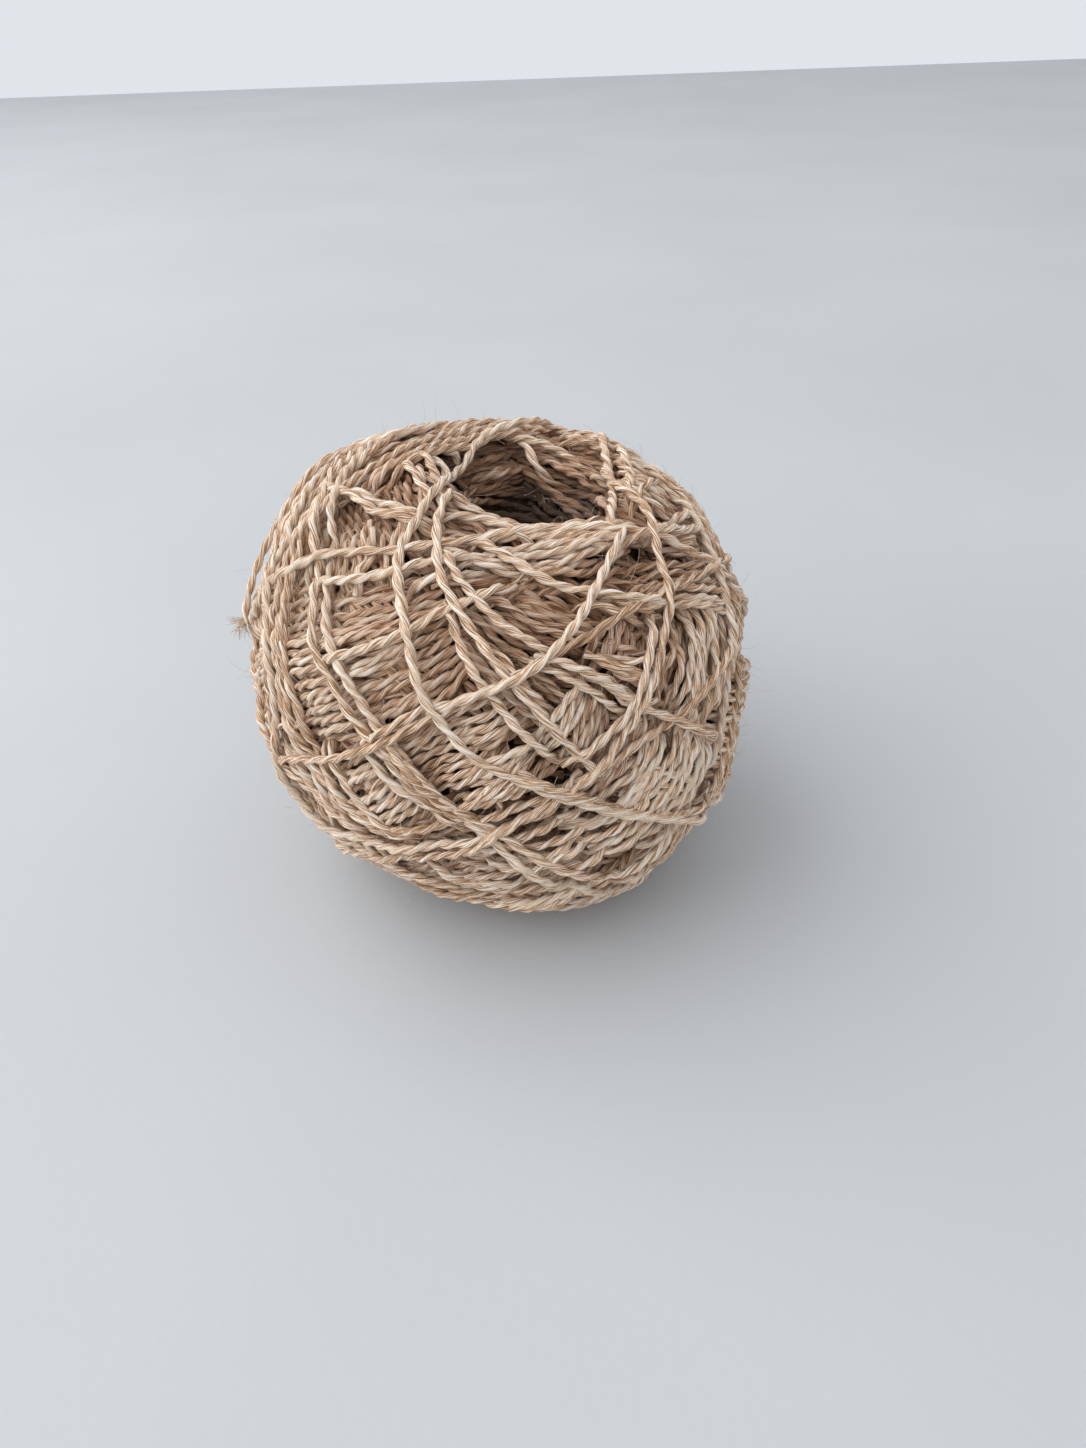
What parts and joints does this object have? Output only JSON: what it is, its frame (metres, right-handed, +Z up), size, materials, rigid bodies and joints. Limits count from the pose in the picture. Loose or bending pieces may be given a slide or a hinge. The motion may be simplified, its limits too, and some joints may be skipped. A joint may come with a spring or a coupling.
{
  "type": "ball of fingering yarn",
  "caption": "Hand-wound ball of two-ply fingering-weight yarn with a funnel-shaped centre hole, a flat spot to rest on and a loose end.",
  "frame": {"origin": "middle of the flat spot that the ball rests on, under the middle of its outline seen from above", "axes": "+Z up along the winding axis to the centre hole, -Y towards the viewer of the picture, +X to the viewer's right"},
  "size_m": [0.0906, 0.0914, 0.0803],
  "materials": {
    "yarn": "oatmeal and tan two-ply yarn, matt and slightly fuzzy",
    "yarn_end": "the same two-ply yarn, frayed at the tip"
  },
  "bodies": {
    "root": {"wound_ball": "yarn", "loose_end": "yarn_end"}
  },
  "joints": []
}
